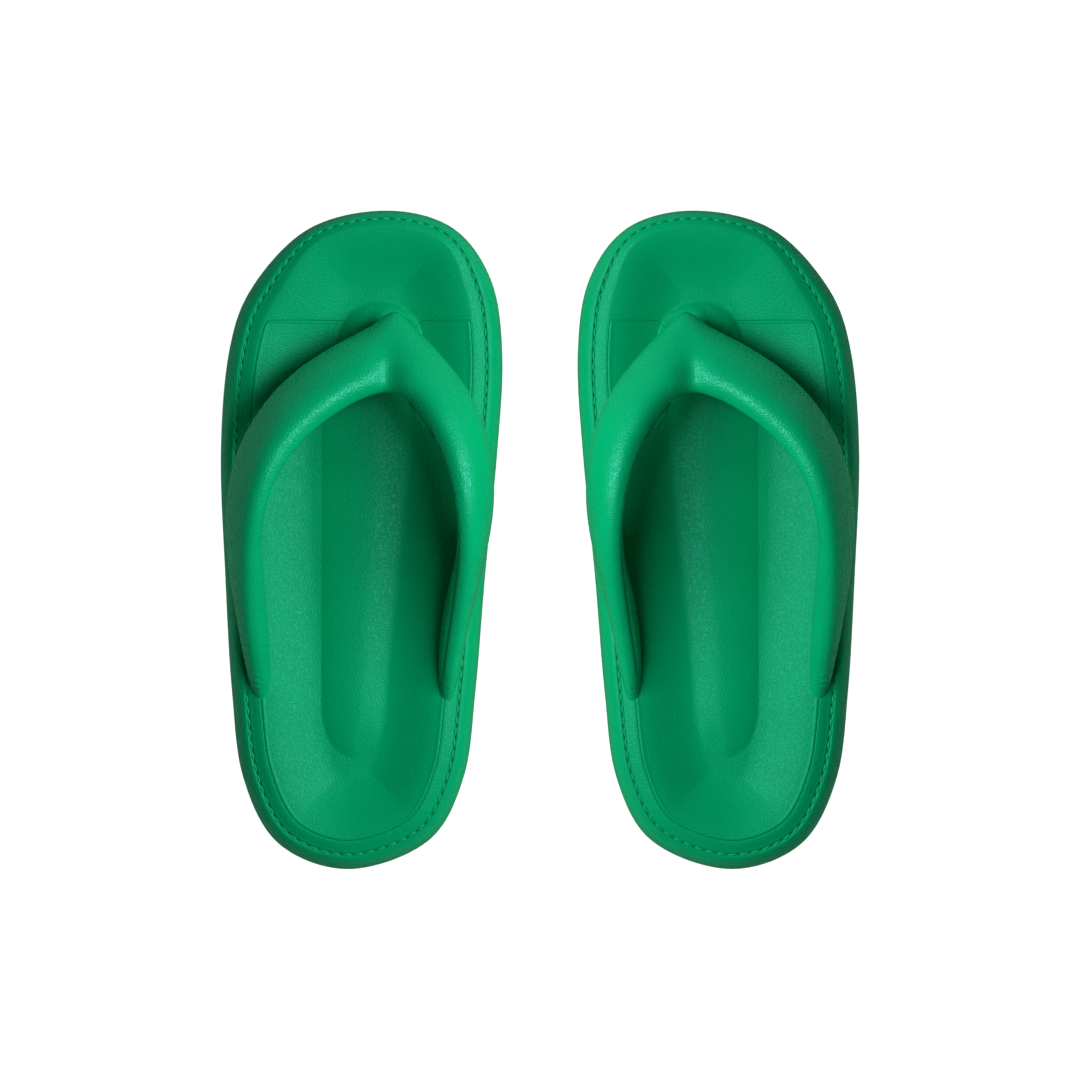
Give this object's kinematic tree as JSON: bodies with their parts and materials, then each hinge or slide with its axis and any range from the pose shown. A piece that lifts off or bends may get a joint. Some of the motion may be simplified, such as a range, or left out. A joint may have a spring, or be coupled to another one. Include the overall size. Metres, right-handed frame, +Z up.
{
  "type": "flip flop",
  "caption": "Pair of thick-soled foam thong flip flops with a puffy padded V strap, toe post, dished footbed with a stitched rim and a grooved outsole.",
  "frame": {"origin": "middle of the pair's bounding box, on the ground under the outsoles", "axes": "+X across the pair towards the right shoe, +Y towards the toes, +Z up"},
  "size_m": [0.2626, 0.2702, 0.0776],
  "materials": {
    "outsole_rubber": "matte moulded rubber",
    "midsole_foam": "satin closed-cell foam with a fine leather grain",
    "footbed_foam": "satin closed-cell foam with a fine leather grain",
    "inlay_foam": "satin soft foam with a fine leather grain",
    "strap_foam": "satin padded foam with a fine leather grain",
    "post_plastic": "soft smooth plastic",
    "anchor_plastic": "plain moulded plastic, hidden",
    "thread": "twisted synthetic thread"
  },
  "bodies": {
    "left_shoe": {"left_outsole": "outsole_rubber", "left_midsole": "midsole_foam", "left_footbed": "footbed_foam", "left_inlay": "inlay_foam", "left_strap": "strap_foam", "left_toe_post": "post_plastic", "left_post_washer": "anchor_plastic", "left_lateral_anchor": "anchor_plastic", "left_medial_anchor": "anchor_plastic", "left_stitching": "thread"},
    "right_shoe": {"right_outsole": "outsole_rubber", "right_midsole": "midsole_foam", "right_footbed": "footbed_foam", "right_inlay": "inlay_foam", "right_strap": "strap_foam", "right_toe_post": "post_plastic", "right_post_washer": "anchor_plastic", "right_lateral_anchor": "anchor_plastic", "right_medial_anchor": "anchor_plastic", "right_stitching": "thread"}
  },
  "joints": [
    {"name": "right_shoe_lift", "type": "slide", "parent": "left_shoe", "child": "right_shoe", "axis": [0, 0, 1], "range_m": [0, 0.15]}
  ]
}
